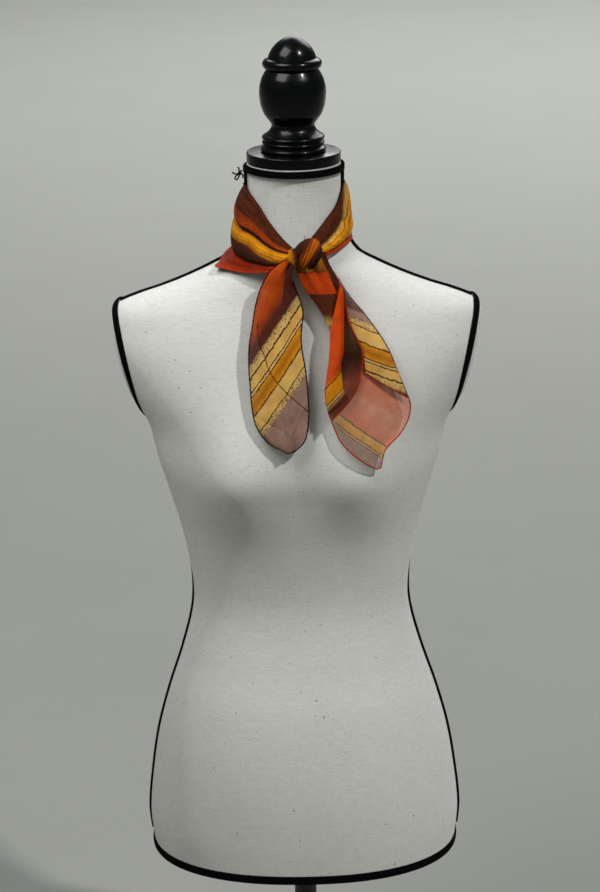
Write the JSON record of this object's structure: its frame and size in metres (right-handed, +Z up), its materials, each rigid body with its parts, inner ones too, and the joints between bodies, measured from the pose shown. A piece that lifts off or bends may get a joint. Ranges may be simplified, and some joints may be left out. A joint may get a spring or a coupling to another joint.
{
  "type": "chiffon scarf on a limbless dress form",
  "caption": "square sheer scarf folded on the diagonal and knotted round the neck of a linen covered counter-top dress form",
  "frame": {"origin": "on the floor at the middle of the round base, under the axis of the pole", "axes": "+Z up, -Y out of the form's chest, +X to the right of someone looking at the front"},
  "size_m": [0.3892, 0.33, 1.1506],
  "materials": {
    "chiffon": "sheer printed weave",
    "linen": "matt flecked weave",
    "black_braid": "matt braid",
    "lacquered_wood": "black lacquer",
    "stand_metal": "satin black"
  },
  "bodies": {
    "root": {"form_torso": "linen", "form_arm_plate_left": "linen", "form_arm_plate_right": "linen", "form_neck_cap": "lacquered_wood", "form_finial": "lacquered_wood", "form_neck_wrap": "black_braid", "form_neck_bow": "black_braid", "form_arm_braid_left": "black_braid", "form_arm_braid_right": "black_braid", "form_shoulder_cord_left": "black_braid", "form_shoulder_cord_right": "black_braid", "form_seam_cord_left": "black_braid", "form_seam_cord_right": "black_braid", "form_hem_braid": "black_braid", "stand_pole": "stand_metal", "stand_base": "stand_metal", "scarf_neck_left": "chiffon", "scarf_neck_back": "chiffon", "scarf_neck_right": "chiffon", "scarf_knot": "chiffon", "scarf_end_left_front": "chiffon", "scarf_end_left_back": "chiffon", "scarf_end_right_back": "chiffon", "scarf_end_right_panel": "chiffon", "scarf_end_right_flap": "chiffon"}
  },
  "joints": []
}
